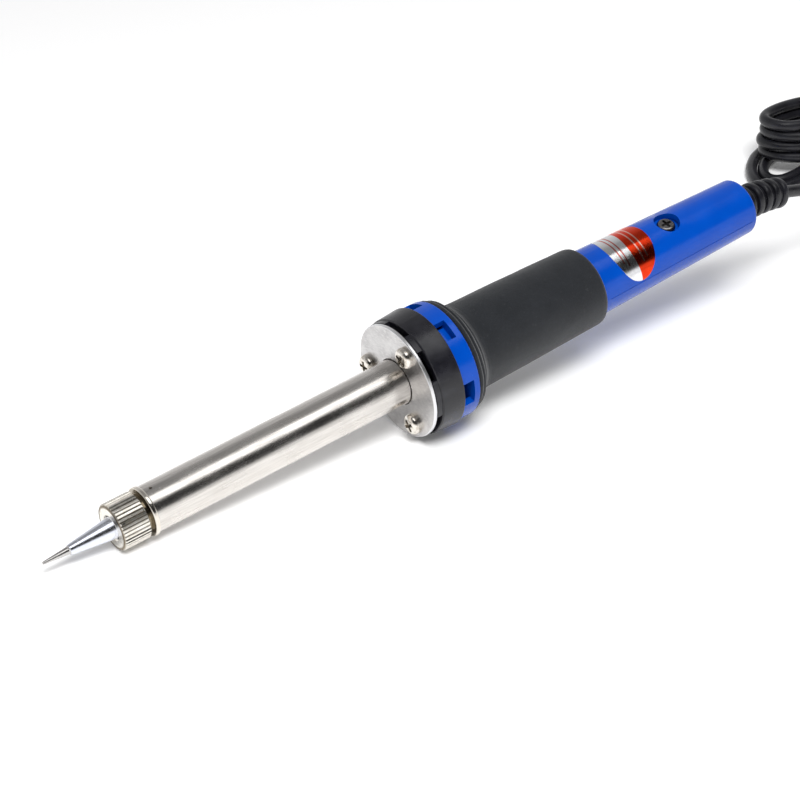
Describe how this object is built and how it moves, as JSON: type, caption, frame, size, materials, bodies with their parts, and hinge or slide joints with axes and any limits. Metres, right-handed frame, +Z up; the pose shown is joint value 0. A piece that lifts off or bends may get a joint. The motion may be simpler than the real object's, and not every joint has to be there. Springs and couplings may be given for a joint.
{
  "type": "soldering iron",
  "caption": "Mains-powered soldering iron: pointed bit held by a knurled nut in a steel barrel, vented black ring, blue handle with foam grip, ribbed boot and coiled cord with plug",
  "frame": {"origin": "on the table, under the middle of the iron's length from the bit's point to the end of the boot; the free cord is not counted", "axes": "+X runs along the iron from the bit to the cord, level with the table; +Z is up; the iron's own axis rises towards the cord because it lies on its nut and its black ring"},
  "size_m": [0.3914, 0.082, 0.0357],
  "materials": {
    "tinned_bit": "plated iron bit, satin silver with a faint blue cast, tinned bright at the point, finely turned",
    "nickel": "nickel-plated brass, bright, with sharp knurling",
    "polished_steel": "stainless tube, polished along its length, faint drawing lines and handling marks",
    "plate_steel": "stamped steel disc, fine satin finish",
    "screw_steel": "nickel-plated steel screws, bright with dark recesses",
    "bakelite": "black thermoset moulding, glossy, faint flow marks",
    "blue_plastic": "saturated blue nylon moulding, semi-gloss",
    "foam": "charcoal closed-cell foam sleeve, matte, fine pores",
    "label_foil": null,
    "ceramic": "white alumina ceramic, matte",
    "resistance_wire": "close-wound resistance wire, heat-tinted",
    "mica": "mica wrap, pearly brown",
    "lead_wire": "bare nickel lead wire and crimp barrels",
    "glass_sleeve": "woven glass-fibre sleeving, off-white",
    "core_insulation": "PVC core insulation, brown",
    "clamp_steel": "zinc-plated steel bar",
    "boot_rubber": "black flexible PVC boot, satin",
    "cord_pvc": "black PVC cord jacket, satin with soft highlights",
    "tie_plastic": "black plastic-coated wire tie",
    "plug_pvc": "black moulded PVC plug, satin",
    "blade_brass": "nickel-plated brass blades"
  },
  "bodies": {
    "iron": {"barrel_collar": "nickel", "barrel_tube": "polished_steel", "heater_core": "ceramic", "heater_winding": "resistance_wire", "heater_wrap": "mica", "heater_rear_disc": "plate_steel", "lead_insulator": "ceramic", "heater_leads": "lead_wire", "lead_sleeves": "glass_sleeve", "lead_splices": "lead_wire", "cord_cores": "core_insulation", "flange_plate": "plate_steel", "flange_screws": "screw_steel", "insulating_ring": "bakelite", "handle_shell": "blue_plastic", "grip_sleeve": "foam", "rating_label": "label_foil", "handle_screw": "screw_steel", "cord_clamp": "clamp_steel", "cord_inner_end": "cord_pvc", "strain_relief": "boot_rubber", "cord_run": "cord_pvc", "cord_loop": "cord_pvc", "cord_hank": "cord_pvc", "cord_tail": "cord_pvc", "hank_tie": "tie_plastic", "plug_body": "plug_pvc", "plug_blades": "blade_brass"},
    "collet": {"tip_collet": "nickel"},
    "nut": {"tip_nut": "nickel"},
    "bit": {"soldering_bit": "tinned_bit"}
  },
  "joints": [
    {"name": "nut_travel", "type": "slide", "parent": "iron", "child": "collet", "axis": [-0.9938, 0, -0.1115], "range_m": [0, 0.003]},
    {"name": "nut_turn", "type": "hinge", "parent": "collet", "child": "nut", "pos_m": [-0.09362, 0, 0.00637], "axis": [-0.9938, 0, -0.1115], "range_deg": [0, 1440]},
    {"name": "bit_slide", "type": "slide", "parent": "iron", "child": "bit", "axis": [-0.9938, 0, -0.1115], "range_m": [0, 0.034]}
  ],
  "couplings": [
    {"joint": "nut_turn", "follows": "nut_travel", "rad_per_m": 8377.6}
  ]
}
